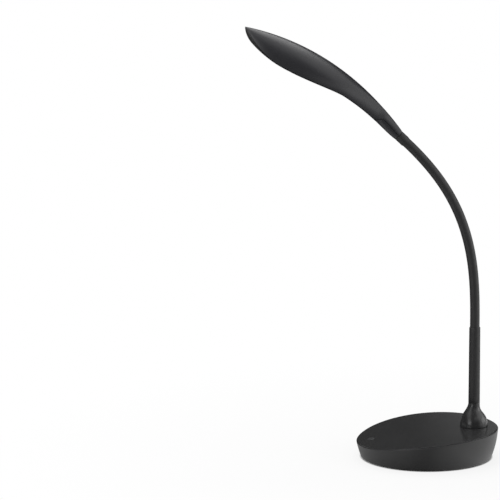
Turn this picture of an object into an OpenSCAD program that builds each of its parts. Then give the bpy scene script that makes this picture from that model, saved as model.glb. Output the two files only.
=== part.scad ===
// Gooseneck desk lamp: a weighted round base with a touch key, a flexible neck
// in a silicone sleeve, and a leaf-shaped LED head.
// Millimetres. +Z is up and the lamp's front is -Y. The origin is the centre of
// the base on the table. The neck stands at the rear and leans forward.
// The neck's sleeve, steel gooseneck tube and lead are cut into links that meet
// in balls and sockets, so that the neck can bend.

/* [Base shell] */
// Diameter of the base where its side curve is widest
base_d = 150; // [140:1:170]
// Height at which the side curve would be widest
base_wide_z = 36; // [34:1:44]
// Radius of the side curve
base_side_r = 95; // [85:1:130]
// Wall of the base body
base_wall = 2.4; // [2:0.1:3]
// Width of the rim that shows round the top cover
rim_w = 1.2; // [0.9:0.1:1.5]
// Height of the crest of the sloping top
crown_z = 31.5; // [29:0.5:36]
// Distance of the crest of the top in from the base's rear
crown_inset = 3; // [0:1:12]
// Fall of the top from its crest to the front edge
crown_fall = 15.3; // [13:0.1:16.5]
// Thickness of the top cover
cover_t = 2.5; // [2:0.1:3]
// Gap under the body, where only the pad reaches the table
base_lift = 1; // [0.6:0.1:1.5]

/* [Base inside] */
// Thickness of the bottom plate
plate_t = 2.5; // [2:0.1:3]
// Gap between the ballast and the power inlet
ballast_gap = 0.8; // [0.6:0.1:4]
// Thickness of the ballast
ballast_t = 8; // [6:0.5:8.5]
// Gap between the rubber pad and the cover screws' heads
pad_gap = 2.2; // [1.6:0.1:8]
// Thickness of the rubber pad
pad_t = 2; // [1.6:0.1:2.6]
// Distance of the cover screws in from the base's edge
screw_inset = 15; // [14.5:0.1:16]
// Diameter of the screw posts under the cover
post_d = 7; // [6:0.5:8]
// Shank diameter of the cover screws
screw_d = 3; // [2.5:0.1:3.5]
// Width of the control board
board_w = 34; // [30:1:38]
// Length of the control board
board_len = 64; // [58:1:66]
// Thickness of the control board
board_t = 1.6; // [1.2:0.1:2]
// Air between the ballast and the control board
board_air = 1.6; // [1.6:0.1:2]
// Shank diameter of the small board screws
small_screw_d = 2.4; // [2:0.1:2.6]
// Distance of the touch key in from the base's front edge
touch_inset = 17; // [16:0.5:21]
// Diameter of the touch key's lens
touch_d = 8; // [6:0.5:9]
// Bore of the power inlet
jack_bore_d = 6.4; // [5.5:0.1:6.8]
// Centre pin of the power inlet
jack_pin_d = 2.1; // [1.6:0.1:2.5]

/* [Stem] */
// Distance of the neck in from the base's rear edge
neck_inset = 25; // [25:0.5:29]
// Height of the trumpet foot above the base
foot_h = 27.2; // [24:0.2:32]
// Radius of the trumpet foot where it meets the base
foot_r = 14.4; // [13:0.1:16]
// Radius of the hollow sweep at the top of the trumpet foot
foot_sweep_r = 16; // [14:1:20]
// Turn of that hollow sweep
foot_sweep = 38; // [34:1:42]
// Diameter of the stem where it meets the trumpet foot
stem_d = 12; // [11.6:0.1:13]
// Diameter of the stem at its top
stem_top_d = 11.5; // [11:0.1:12]
// Length of the stiff stem
stem_len = 78.2; // [60:0.2:110]
// Outer diameter of the steel stem tube
tube_d = 9; // [8.6:0.1:9.2]
// Bore of the steel stem tube
tube_bore = 7.2; // [7:0.1:7.4]

/* [Neck] */
// Diameter of the flexible neck
neck_d = 10; // [9.8:0.1:10.6]
// Bore of the silicone sleeve
sleeve_bore = 7.4; // [7.4:0.1:7.6]
// Diameter of the steel gooseneck tube
core_d = 6.8; // [6.6:0.1:6.8]
// Bore of the steel gooseneck tube
core_bore = 4.4; // [4.2:0.1:4.6]
// Diameter of the two-core lead
lead_d = 3; // [2.6:0.1:3]
// Length of the flexible neck, from the stem to the head
flex_len = 226.5; // [200:0.5:260]
// Lean of the neck's end from upright, at rest
lean = 46.2; // [20:0.1:60]
// How late along the neck the lean comes
lean_bias = 1.11; // [1:0.01:1.4]
// Share of the lean that is spread evenly along the neck
even_lean = 0.15; // [0:0.05:1]
// Diameter of the collar at the head
collar_d = 10.9; // [10.8:0.1:11]
// Length of the collar
collar_len = 11; // [8:0.5:14]

/* [Head] */
// Length of the head from the collar to its tip
head_len = 195.7; // [180:0.1:215]
// Greatest half width of the head
head_half_w = 28; // [25:0.5:32]
// Diameter of the head's tail where it meets the collar
tail_d = 11; // [11:0.1:11.6]
// Height of the head's crown over the line from tail to tip
head_crown = 20.3; // [19:0.1:24]
// Height of the waist's underside over that line
head_waist = 1.2; // [0.4:0.1:2]
// Depth of the nose under that line
head_drop = 12.3; // [11:0.1:14]
// Droop of the head from the direction of the neck's end
head_droop = 7.8; // [6:0.1:11]
// Wall of the head's shell
shell_t = 1.6; // [1.3:0.1:1.8]
// Depth of the lower frame's edge that shows at the sides
frame_edge = 0.6; // [0.4:0.1:1]
// Depth of the lower frame's edge that shows at the nose
frame_nose = 3.6; // [2:0.1:4]
// Width of the frame between the head's edge and the diffuser
frame_w = 5; // [4:0.1:6]
// Distance from the collar to the rear end of the diffuser
window_a = 64; // [62:1:68]
// Distance from the tip to the front end of the diffuser
window_tip = 12; // [11:0.5:16]
// Length of the LED board
led_board_len = 100; // [90:1:104]
// Width of the LED board
led_board_w = 18; // [16:0.5:20]
// LEDs in each of the two rows
led_count = 12; // [8:1:14]

/* [Fits] */
// Seam between the cover and the rim, and between other fixed pieces
seam = 0.2; // [0.15:0.05:0.3]
// How much smaller in radius a ball is than the link it ends
ball_relief = 0.2; // [0.15:0.05:0.25]
// How much larger in radius a socket is than the link it opens
socket_room = 0.1; // [0.1:0.02:0.14]
// Half of the gap between two stretches of the lead
lead_gap = 0.3; // [0.25:0.05:0.4]

/* [Hidden] */
LINKS = 10;
function two_digits(k) = str(k < 10 ? "0" : "", k);

$fn = 64;
ROUND_FN = 180;
CROWN_FN = 720;
eps = 0.01;

satin_black = [0.16, 0.16, 0.17];
gloss_black = [0.10, 0.10, 0.105];
silicone_black = [0.12, 0.12, 0.12];
steel = [0.62, 0.63, 0.65];
cast_grey = [0.30, 0.30, 0.31];
rubber_grey = [0.08, 0.08, 0.08];
board_green = [0.08, 0.30, 0.16];
copper = [0.72, 0.42, 0.25];
opal = [0.95, 0.95, 0.92];
led_yellow = [0.95, 0.85, 0.35];

// ---- Base: heights and curves ----
base_r = base_d / 2;
side_axis_r = base_r - base_side_r;
crown_y = base_r - crown_inset;
crown_run = crown_y + base_r;
crown_r = (pow(crown_run, 2) + pow(crown_fall, 2)) / (2 * crown_fall);
neck_y = base_r - neck_inset;
touch_y = base_r - touch_inset;
screw_ring = base_r - screw_inset;
base_top_limit = crown_z + 5;
plate_top = base_lift + plate_t;
ballast_top = plate_top + ballast_t;
board_z = ballast_top + board_air;
board_top = board_z + board_t;
ledge_t = 1.6;
rest_gap = 0.05;
ledge_r = screw_ring + post_d / 2 + 0.5;
quarter_turn = 90;

// Radius of the base's side curve, moved in by inset, at height z
function side_r(z, inset = 0) = side_axis_r + sqrt(pow(base_side_r - inset, 2) - pow(z - base_wide_z, 2));

// Height of the top's curve at y, lowered by drop
function crown_at(y, drop = 0) = crown_z - crown_r + sqrt(pow(crown_r - drop, 2) - pow(y - crown_y, 2));

// The bowl that the side curve encloses, from z0 to z1
module bowl(inset, z0, z1) {
    rotate_extrude($fn = ROUND_FN)
        intersection() {
            translate([side_axis_r, base_wide_z])
                circle(r = base_side_r - inset, $fn = CROWN_FN);
            translate([0, z0])
                square([base_d, z1 - z0]);
        }
}

// Everything under the top's curve, lowered by drop
module under_crown(drop = 0) {
    translate([0, crown_y, crown_z - crown_r])
        rotate([0, 90, 0])
            cylinder(r = crown_r - drop, h = base_d + 20, center = true, $fn = CROWN_FN);
}

module ring(r_out, r_in, h) {
    difference() {
        cylinder(r = r_out, h = h);
        translate([0, 0, -1])
            cylinder(r = r_in, h = h + 2);
    }
}

// The four posts that the cover's screws go into
module at_posts() {
    for (turn = [45:90:315])
        rotate([0, 0, turn])
            translate([screw_ring, 0, 0])
                children();
}

// ---- Base: inlet ----
jack_barrel_r = jack_bore_d / 2 + 1.3;
jack_body_w = 11;
jack_body_h = 10;
jack_body_len = 12;
jack_z = plate_top + seam + jack_body_h / 2;
jack_face_y = side_r(jack_z) - 0.2;
jack_depth = 9.5;
jack_nose = 6;

module base_body() {
    color(satin_black)
        difference() {
            intersection() {
                bowl(0, base_lift, base_top_limit);
                under_crown();
            }
            bowl(base_wall, base_lift - 1, plate_top);
            cylinder(r = ledge_r, h = base_top_limit);
            bowl(base_wall, plate_top + ledge_t, base_top_limit + 1);
            translate([-jack_body_w / 2 - 1, 0, plate_top - 1])
                cube([jack_body_w + 2, jack_face_y - jack_nose + seam, 2 * ledge_t + 1]);
            difference() {
                bowl(rim_w, base_lift + plate_t, base_top_limit + 1);
                under_crown(cover_t + rest_gap);
            }
            translate([0, jack_face_y - 2 * base_wall - 2, jack_z])
                rotate([-quarter_turn, 0, 0])
                    cylinder(r = jack_barrel_r + seam, h = 2 * base_wall + 10);
        }
}

// ---- Base: control board ----
board_rear_y = board_len - touch_y - touch_d;
board_boss_x = board_w / 2 - 4;
board_boss_ys = [touch_y - touch_d, 4 - board_rear_y];
board_boss_r = 3;
lead_plug_len = 8;
lead_plug_w = 8;
lead_plug_h = 6;
washer_r = 10;
washer_t = 1.5;
spigot_r = 7;
neck_boss_r = 12;
neck_boss_z = crown_at(neck_y, cover_t) - 1.2;

module at_board_bosses() {
    for (side = [-1, 1])
        for (front_y = board_boss_ys)
            translate([side * board_boss_x, -front_y, 0])
                children();
}

module base_cover() {
    color(gloss_black)
        difference() {
            union() {
                intersection() {
                    bowl(rim_w + seam, base_lift + plate_t, base_top_limit);
                    difference() {
                        under_crown();
                        under_crown(cover_t);
                    }
                }
                intersection() {
                    under_crown(cover_t / 2);
                    union() {
                        at_posts()
                            translate([0, 0, plate_top])
                                cylinder(d = post_d, h = crown_z);
                        at_board_bosses()
                            translate([0, 0, board_top])
                                cylinder(r = board_boss_r, h = crown_z);
                        translate([0, neck_y, neck_boss_z])
                            cylinder(r = neck_boss_r, h = crown_z);
                    }
                }
            }
            at_posts()
                translate([0, 0, plate_top - 1])
                    cylinder(d = screw_d + 0.1, h = 12);
            at_board_bosses()
                translate([0, 0, board_top - 1])
                    cylinder(d = small_screw_d + 0.1, h = 3.2);
            translate([0, neck_y, 0])
                cylinder(r = spigot_r + seam, h = 2 * crown_z);
            translate([0, -touch_y, 0])
                cylinder(d = touch_d + 2 * seam, h = 2 * crown_z);
        }
}

plate_r = side_r(base_lift, base_wall) - 0.4;
screw_head_d = 2 * screw_d - 0.4;
pad_r = screw_ring - screw_head_d / 2 - pad_gap;
screw_head_t = 1.4;
screw_len = 11;

module base_plate() {
    color(satin_black)
        difference() {
            translate([0, 0, base_lift])
                cylinder(r = plate_r, h = plate_t, $fn = ROUND_FN);
            cylinder(r = pad_r + seam, h = pad_t);
            at_posts() {
                cylinder(d = screw_d + 0.4, h = plate_top + 1);
                cylinder(d = screw_head_d + 0.4, h = base_lift + screw_head_t);
            }
        }
}

module ballast() {
    edge = 1;
    ballast_r = jack_face_y - jack_nose - jack_body_len - ballast_gap;
    color(cast_grey)
        translate([0, 0, plate_top])
            rotate_extrude($fn = ROUND_FN)
                polygon([[0, 0], [ballast_r, 0], [ballast_r, ballast_t - edge],
                         [ballast_r - edge, ballast_t], [0, ballast_t]]);
}

module base_pad() {
    color(rubber_grey)
        cylinder(r = pad_r, h = pad_t, $fn = ROUND_FN);
}

// A pan-head screw that points up, with its head under z = 0
module screw(shank_d, head_d, head_t, len) {
    slot_w = shank_d / 4;
    difference() {
        union() {
            translate([0, 0, -head_t / 4])
                cylinder(d = shank_d, h = head_t / 4 + len);
            translate([0, 0, -head_t])
                cylinder(d = head_d, h = head_t);
        }
        for (turn = [0, 90])
            rotate([0, 0, turn])
                translate([-head_d / 4, -slot_w / 2, -head_t - 1])
                    cube([head_d / 2, slot_w, 1 + head_t / 2]);
    }
}

module base_screws() {
    color(steel)
        at_posts()
            translate([0, 0, base_lift + screw_head_t])
                screw(screw_d, screw_head_d, screw_head_t - 0.2, screw_len);
}

module control_board() {
    front_y = -touch_y - touch_d;
    capacitor_d = 6;
    capacitor_h = 5;
    inductor_w = 9;
    inductor_h = 3.5;
    chip_w = 7;
    chip_t = 1.2;
    color(board_green)
        difference() {
            union() {
                translate([-board_w / 2, front_y, board_z])
                    cube([board_w, board_len, board_t]);
                translate([-lead_plug_w / 2, front_y + board_len - lead_plug_len, board_z - 0.8])
                    cube([lead_plug_w, lead_plug_len, lead_plug_h]);
                translate([0.24 * board_w, front_y + 0.47 * board_len, board_top - eps])
                    cylinder(d = capacitor_d, h = capacitor_h);
                translate([-0.35 * board_w, front_y + 0.4 * board_len, board_top - eps])
                    cube([inductor_w, inductor_w, inductor_h]);
                translate([-0.09 * board_w, front_y + 0.57 * board_len, board_top - eps])
                    cube([chip_w, chip_w, chip_t]);
            }
            at_board_bosses()
                translate([0, 0, board_z - 1])
                    cylinder(d = small_screw_d + 0.3, h = board_t + 2);
        }
}

module board_screws() {
    color(steel)
        at_board_bosses()
            translate([0, 0, board_z])
                screw(small_screw_d, 1.8 * small_screw_d, board_air - 0.4, board_t + 2);
}

module touch_spring() {
    spring_top = crown_at(-touch_y - touch_d / 2, cover_t) - 0.1;
    color(copper)
        translate([0, -touch_y, board_top])
            ring(touch_d / 2 - 0.6, touch_d / 2 - 1.2, spring_top - board_top);
}

module touch_lens() {
    color(opal)
        intersection() {
            translate([0, -touch_y, 0])
                cylinder(d = touch_d, h = 2 * crown_z);
            difference() {
                under_crown();
                under_crown(cover_t);
            }
        }
}

module dc_jack() {
    body_y = jack_face_y - jack_nose - jack_body_len;
    color(rubber_grey)
        difference() {
            union() {
                translate([-jack_body_w / 2, body_y, jack_z - jack_body_h / 2])
                    cube([jack_body_w, jack_body_len, jack_body_h]);
                translate([0, jack_face_y - jack_nose - 2, jack_z])
                    rotate([-quarter_turn, 0, 0])
                        cylinder(r = jack_barrel_r, h = jack_nose + 2);
            }
            difference() {
                translate([0, jack_face_y - jack_depth, jack_z])
                    rotate([-quarter_turn, 0, 0])
                        cylinder(d = jack_bore_d, h = jack_depth + 1);
                translate([0, jack_face_y - jack_depth - 1, jack_z])
                    rotate([-quarter_turn, 0, 0])
                        cylinder(d = jack_pin_d, h = jack_depth - 0.5);
            }
        }
}

// Two wires from the inlet to the control board
wire_d = 1.5;
wire_bend = 4;
wire_x = 11;
wire_jack_x = 2.5;

module jack_lead() {
    wire_z = ballast_top + wire_d / 2 + 0.3;
    start_y = jack_face_y - jack_nose - jack_body_len;
    board_edge_y = board_len - touch_y - touch_d;
    color("firebrick")
        for (side = [-1, 1])
            translate([side * wire_x, board_edge_y + 0.3, wire_z])
                jack_wire(start_y - board_edge_y - 0.3, side);
}

// One wire: along the ballast, across to the inlet, and in
module jack_wire(run, side) {
    inset_x = wire_x - wire_jack_x;
    straight = run - 2 * wire_bend - 0.2;
    rotate([-quarter_turn, 0, 0])
        cylinder(d = wire_d, h = straight);
    translate([-side * wire_bend, straight, 0])
        rotate([0, 0, side > 0 ? 0 : 90])
            rotate_extrude(angle = 90)
                translate([wire_bend, 0])
                    circle(d = wire_d);
    translate([-side * wire_bend, straight + wire_bend, 0])
        rotate([0, -side * 90, 0])
            cylinder(d = wire_d, h = inset_x - 2 * wire_bend + eps);
    translate([-side * (inset_x - wire_bend), straight + 2 * wire_bend, 0])
        rotate([0, 0, side > 0 ? 180 : 270])
            rotate_extrude(angle = 90)
                translate([wire_bend, 0])
                    circle(d = wire_d);
}

// ---- Trumpet foot and stem ----
foot_top_z = crown_at(neck_y) + foot_h;
stem_top_z = foot_top_z + stem_len;
root_len = 2.5;
first_joint_z = stem_top_z + root_len;
foot_mid_r = stem_d / 2 + foot_sweep_r * (1 - cos(foot_sweep));
foot_mid_z = foot_top_z - foot_sweep_r * sin(foot_sweep);
foot_belly_r = (foot_r - foot_mid_r) / (1 - cos(foot_sweep));
foot_belly_z = foot_mid_z - foot_belly_r * sin(foot_sweep);
foot_low_z = min(foot_belly_z, crown_at(neck_y - foot_r)) - 1;
tube_fit = 0.1;
tube_bottom_z = neck_boss_z - washer_t - 6;
shoulder_r = tube_d / 2 + 0.7;
shoulder_t = 2;

// Half outline of the trumpet foot: a hollow sweep at the top, a round belly below
module foot_outline() {
    difference() {
        translate([0, foot_mid_z])
            square([foot_mid_r, foot_top_z - foot_mid_z]);
        translate([stem_d / 2 + foot_sweep_r, foot_top_z])
            circle(r = foot_sweep_r, $fn = ROUND_FN);
    }
    intersection() {
        translate([foot_r - foot_belly_r, foot_belly_z])
            circle(r = foot_belly_r, $fn = ROUND_FN);
        translate([0, foot_belly_z])
            square([foot_r, foot_mid_z - foot_belly_z]);
    }
    translate([0, foot_low_z])
        square([foot_r, foot_belly_z - foot_low_z]);
}

module neck_foot() {
    color(gloss_black)
        difference() {
            union() {
                difference() {
                    translate([0, neck_y, 0])
                        rotate_extrude($fn = ROUND_FN)
                            foot_outline();
                    under_crown(-0.05);
                }
                translate([0, neck_y, neck_boss_z + 0.3])
                    cylinder(r = spigot_r, h = crown_at(neck_y) - neck_boss_z + 1);
            }
            translate([0, neck_y, 0])
                cylinder(d = tube_d + 2 * tube_fit, h = 2 * foot_top_z);
        }
}

module neck_washer() {
    color(steel)
        translate([0, neck_y, neck_boss_z - washer_t])
            ring(washer_r, tube_d / 2 + 0.2, washer_t);
}

module neck_nut() {
    nut_t = 4.5;
    nut_corner_r = 8;
    color(steel)
        translate([0, neck_y, neck_boss_z - washer_t - nut_t])
            difference() {
                cylinder(r = nut_corner_r, h = nut_t, $fn = 6);
                translate([0, 0, -1])
                    cylinder(d = tube_d + 0.1, h = nut_t + 2);
            }
}

module stem_tube() {
    tube_top_z = stem_top_z - 1.5;
    color(steel)
        translate([0, neck_y, 0])
            difference() {
                union() {
                    translate([0, 0, tube_bottom_z])
                        cylinder(d = tube_d, h = tube_top_z - tube_bottom_z);
                    translate([0, 0, foot_top_z + 0.05])
                        cylinder(r = shoulder_r, h = shoulder_t);
                }
                cylinder(d = tube_bore, h = tube_top_z + 1);
            }
}

// ---- Neck: the curve at rest, and the links along it ----
link_len = flex_len / LINKS;
cap_h = 1.2;
sleeve_flare = 0.45;
core_flare = 0.2;
insert_len = 22;

function ease(u) = 3 * u * u - 2 * u * u * u;
// Lean from upright at distance k along the neck, counted in links
function lean_at(k) = lean * (even_lean * k / LINKS + (1 - even_lean) * ease(pow(k / LINKS, lean_bias)));
function link_lean(k) = k == LINKS ? lean : lean_at(k - 0.5);
// Place of the joint at the end of link k, as [y, z]
function joint_at(k) = k == 0
    ? [neck_y, first_joint_z]
    : joint_at(k - 1) + link_len * [-sin(link_lean(k)), cos(link_lean(k))];

// Children stand at the lower end of link k, with +Z along the link
module in_link(k) {
    translate([0, joint_at(k - 1)[0], joint_at(k - 1)[1]])
        rotate([link_lean(k), 0, 0])
            children();
}

// Children stand at the neck's end, with +Z along it
module at_neck_end() {
    in_link(LINKS)
        translate([0, 0, link_len])
            children();
}

// Half section of a bar of radius r and height h that ends in a ball, cut off above its middle
module ball_section(r, h) {
    square([r, h]);
    intersection() {
        translate([0, h])
            circle(r = r - ball_relief, $fn = 96);
        translate([0, h - r / 2])
            square([r, r / 2 + cap_h]);
    }
}

// Half section of a bore of radius r that widens by flare through the ball at height h
module bore_section(r, h, flare) {
    polygon([[-1, -1], [r, -1], [r, h], [r + flare, h + cap_h], [r + flare, h + cap_h + 1],
             [-1, h + cap_h + 1]]);
}

// A link: a socket round its lower joint, a tube, and a ball round its upper joint
module tube_link(r_out, r_in, flare) {
    rotate_extrude()
        difference() {
            ball_section(r_out, link_len);
            circle(r = r_out + socket_room, $fn = 96);
            bore_section(r_in, link_len, flare);
        }
}

// The last link: a socket, and a tube that ends flat at height h
module last_link(r_out, r_in, h) {
    rotate_extrude()
        difference() {
            translate([r_in, 0])
                square([r_out - r_in, h]);
            circle(r = r_out + socket_room, $fn = 96);
        }
}

module stem_sleeve() {
    low_z = foot_top_z + 0.05;
    root_r = neck_d / 2;
    color(silicone_black)
        translate([0, neck_y, low_z])
            rotate_extrude()
                difference() {
                    union() {
                        polygon([[0, 0], [stem_d / 2, 0], [stem_top_d / 2, stem_top_z - 0.3 - low_z],
                                 [stem_top_d / 2 - 0.3, stem_top_z - low_z], [0, stem_top_z - low_z]]);
                        ball_section(root_r, first_joint_z - low_z);
                    }
                    bore_section(sleeve_bore / 2, first_joint_z - low_z, sleeve_flare);
                    translate([-1, -1])
                        square([tube_d / 2 + 0.1 + 1, stem_top_z - 1.3 - low_z + 1]);
                    translate([-1, -1])
                        square([shoulder_r + 0.1 + 1, shoulder_t + 0.2 + 1]);
                }
}

module stem_core() {
    root = 40;
    color(steel)
        translate([0, neck_y, first_joint_z - root])
            rotate_extrude()
                difference() {
                    ball_section(core_d / 2, root);
                    bore_section(core_bore / 2, root, core_flare);
                }
}

// The lead from the first joint down the stem, round an elbow and to the control board
lead_bend = 6.6;

module stem_lead() {
    run_z = ballast_top + lead_d / 2 + 0.2;
    board_edge_y = board_len - touch_y - touch_d + 0.3;
    color(rubber_grey) {
        translate([0, neck_y, run_z + lead_bend])
            cylinder(d = lead_d, h = first_joint_z - lead_gap - run_z - lead_bend);
        translate([0, neck_y - lead_bend, run_z + lead_bend])
            rotate([quarter_turn, 0, quarter_turn])
                rotate_extrude(angle = -90)
                    translate([lead_bend, 0])
                        circle(d = lead_d);
        translate([0, board_edge_y, run_z])
            rotate([-quarter_turn, 0, 0])
                cylinder(d = lead_d, h = neck_y - lead_bend - board_edge_y);
    }
}

module sleeve(k) {
    color(silicone_black)
        in_link(k)
            if (k < LINKS)
                tube_link(neck_d / 2, sleeve_bore / 2, sleeve_flare);
            else
                last_link(neck_d / 2, sleeve_bore / 2, link_len - collar_len - 0.05);
}

module core(k) {
    color(steel)
        in_link(k)
            if (k < LINKS)
                tube_link(core_d / 2, core_bore / 2, core_flare);
            else
                last_link(core_d / 2, core_bore / 2, link_len + insert_len);
}

module lead(k) {
    color(rubber_grey)
        in_link(k)
            translate([0, 0, lead_gap])
                cylinder(d = lead_d, h = link_len - 2 * lead_gap);
}

module head_lead() {
    reach = led_board_a / cos(head_droop) - 0.6;
    color(rubber_grey)
        in_link(LINKS)
            translate([0, 0, lead_gap])
                cylinder(d = lead_d, h = link_len - lead_gap + reach);
}

module neck_collar() {
    edge = 0.4;
    collar_r = collar_d / 2;
    color(silicone_black)
        at_neck_end()
            translate([0, 0, -collar_len])
                rotate_extrude()
                    polygon([[sleeve_bore / 2, 0], [collar_r - edge, 0], [collar_r, edge],
                             [collar_r, collar_len - 0.1], [sleeve_bore / 2, collar_len - 0.1]]);
}

module neck_ferrule() {
    color(steel)
        at_neck_end()
            translate([0, 0, 7])
                ring(core_d / 2 + 0.55, core_d / 2 + 0.05, 12);
}

// ---- Head: outlines as Bezier curves over the distance a from the collar ----
// a runs from the collar to the tip, and heights are over the line that joins them
tail_r = tail_d / 2;
window_rear_round = 14;
window_front_round = 16;
TAIL_STEPS = 16;
FRONT_STEPS = 36;
ROUND_STEPS = 18;
tip_end = 0.4;
tip_split = 0.4;
seam_drop = 0.1;
tail_cover_len = 32;
split_fall = 22;

top_outline = [[0, tail_r], [0.382 * head_len, tail_r + 1.7 * (head_crown - tail_r)],
               [0.724 * head_len, tail_r + 1.21 * (head_crown - tail_r)], [head_len, 0]];
low_rear = [[0, -tail_r], [0.1 * head_len, -0.85 * tail_r], [0.18 * head_len, 1.5 * head_waist],
            [0.382 * head_len, head_waist]];
low_front = [[0.382 * head_len, head_waist], [0.528 * head_len, head_waist - 0.166 * head_drop],
             [0.9 * head_len, -2.18 * head_drop], [head_len, 0]];
plan_rear = [[0, tail_r], [0.235 * head_len, tail_r], [0.36 * head_len, head_half_w],
             [0.587 * head_len, head_half_w]];
plan_front = [[0.587 * head_len, head_half_w], [0.79 * head_len, head_half_w],
              [0.935 * head_len, 0.54 * head_half_w], [head_len, 0]];

function bezier(c, t) =
    pow(1 - t, 3) * c[0] + 3 * pow(1 - t, 2) * t * c[1] + 3 * (1 - t) * t * t * c[2] + pow(t, 3) * c[3];
// The place on curve c, between t0 and t1, whose first coordinate is a
function bezier_t(c, a, t0 = 0, t1 = 1, left = 24) =
    left == 0 ? (t0 + t1) / 2
    : bezier(c, (t0 + t1) / 2)[0] < a
        ? bezier_t(c, a, (t0 + t1) / 2, t1, left - 1)
        : bezier_t(c, a, t0, (t0 + t1) / 2, left - 1);
function height_on(c, a) = bezier(c, bezier_t(c, a))[1];
function piecewise(rear, front, a) = a < rear[3][0] ? height_on(rear, a) : height_on(front, a);

function top_at(a) = height_on(top_outline, a);
function low_at(a) = piecewise(low_rear, low_front, a);
function half_w_at(a) = piecewise(plan_rear, plan_front, a);
function ramp(a, a0, a1) = ease(min(1, max(0, (a - a0) / (a1 - a0))));
// Height of the seam between the shell and what closes it below
function split_at(a) = a < tail_cover_len
    ? let (mid = (top_at(a) + low_at(a)) / 2, closed = ramp(a, split_fall, tail_cover_len))
      mid * (1 - closed) + (low_at(a) + frame_edge) * closed
    : low_at(a) + min(frame_edge + (frame_nose - frame_edge) * ramp(a, 0.765 * head_len, 0.96 * head_len),
                      tip_split * (top_at(a) - low_at(a)));
// The tail's end is square to the neck, and the lean fades out over the tail
function tail_shear(a, z) = a - z * tan(head_droop) * max(0, 1 - a / tail_cover_len);
function skin_point(a, x, z) = [x, -tail_shear(a, z), z];
// Stations along the tail up to last, and from the tail on, closer and closer together
function tail_stations(last) = [for (i = [0:TAIL_STEPS]) min(last, i * tail_cover_len / TAIL_STEPS)];
function front_stations(first, last) = [for (i = [0:FRONT_STEPS])
    max(first, tail_cover_len + (last - tail_cover_len) * (1 - pow(1 - i / FRONT_STEPS, 1.5)))];
function skin_stations(last) = concat(
    [for (i = [0:TAIL_STEPS - 1]) i * tail_cover_len / TAIL_STEPS],
    front_stations(tail_cover_len, last));

// The shell's wall where the form is only depth deep
function thinned(depth) = min(shell_t, 0.45 * depth);

// Half round over the seam: i from 0 to ROUND_STEPS goes from one edge over the top to the other
function upper_ring(a, wall) = [
    for (i = [0:ROUND_STEPS])
        let (turn = 180 * i / ROUND_STEPS)
            skin_point(a, (half_w_at(a) - wall) * cos(turn),
                       split_at(a) + (top_at(a) - wall - split_at(a)) * sin(turn))];
// Half round under the seam
function lower_ring(a, wall, drop) = [
    for (i = [0:ROUND_STEPS])
        let (turn = 180 * i / ROUND_STEPS)
            skin_point(a, -(half_w_at(a) - wall) * cos(turn),
                       split_at(a) - drop - (split_at(a) - drop - wall - low_at(a)) * sin(turn))];

function turned(faces) = [for (f = faces) [f[2], f[1], f[0]]];

// Rings run from +X to -X over the top, or from -X to +X below, and follow one another to the tip.
// A closed solid through rings of equal length, whose ends are flat
module loft(rings) {
    n = len(rings[0]);
    m = len(rings);
    points = [for (r = rings) each r];
    sides = [for (j = [0:m - 2]) for (i = [0:n - 1]) let (k = (i + 1) % n)
        each [[j * n + i, j * n + k, (j + 1) * n + k], [j * n + i, (j + 1) * n + k, (j + 1) * n + i]]];
    first = [for (i = [1:n - 2]) [0, i + 1, i]];
    last = [for (i = [1:n - 2]) [(m - 1) * n, (m - 1) * n + i, (m - 1) * n + i + 1]];
    polyhedron(points = points, faces = turned(concat(sides, first, last)), convexity = 6);
}

// An open shell between two grids of points, closed along all of its edges
module thick_skin(outer, inner) {
    n = len(outer[0]);
    m = len(outer);
    count = n * m;
    points = concat([for (r = outer) each r], [for (r = inner) each r]);
    last = (m - 1) * n;
    function quad(a, b, c, d) = [[a, b, c], [a, c, d]];
    out_faces = [for (j = [0:m - 2]) for (i = [0:n - 2])
        each quad(j * n + i, j * n + i + 1, (j + 1) * n + i + 1, (j + 1) * n + i)];
    in_faces = [for (f = out_faces) [f[2] + count, f[1] + count, f[0] + count]];
    rims = [for (j = [0:m - 2])
        let (a = j * n, b = (j + 1) * n - 1)
            each concat(quad(a, a + n, a + n + count, a + count),
                        quad(b, b + count, b + n + count, b + n))];
    ends = [for (i = [0:n - 2])
        each concat(quad(i, i + count, i + 1 + count, i + 1),
                    quad(last + i, last + i + 1, last + i + 1 + count, last + i + count))];
    polyhedron(points = points, faces = turned(concat(out_faces, in_faces, rims, ends)), convexity = 8);
}

// Children are drawn in the head's own frame: -Y to the tip, +Z up out of its back
module in_head() {
    translate([0, joint_at(LINKS)[0], joint_at(LINKS)[1]])
        rotate([lean + head_droop - 90, 0, 0])
            children();
}

// ---- Head: LED board ----
led_board_a = window_a + 4;
led_board_t = 1.2;
spreader_t = 1.5;
spreader_margin = 2;
board_over_low = 9;
led_board_rear_z = low_at(led_board_a) + board_over_low;
led_board_front_z = low_at(led_board_a + led_board_len) + board_over_low - 1;
led_tilt = asin((led_board_rear_z - led_board_front_z) / led_board_len);
led_boss_as = [14, led_board_len - 16];
led_boss_r = 2.8;
led_screw_d = 2.4;
led_size = [2.8, 3.5, 0.7];
led_row_x = 5;

// Children are drawn on the LED board's underside, with its rear edge at y = 0
module on_led_board() {
    in_head()
        translate([0, -led_board_a, led_board_rear_z])
            rotate([led_tilt, 0, 0])
                children();
}

module at_led_bosses() {
    for (a = led_boss_as)
        translate([0, -a, 0])
            children();
}

// Room over the LED board at distance a along it, up to the middle of the shell's wall
function led_boss_h(a) =
    top_at(led_board_a + a) - shell_t / 2 - (led_board_rear_z - a * sin(led_tilt))
    - led_board_t - spreader_t - seam;

head_screw_a = 52;
head_screw_x = 5;
head_boss_r = 1.8;
head_screw_d = 2;
head_screw_len = 8;
frame_upstand = 1.6;
tongue_end = head_screw_a + 4;
tongue_z = split_at(tongue_end) + frame_upstand + 0.1;
tongue_t = 1.1;
head_boss_z = tongue_z + tongue_t + 0.1;

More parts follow.
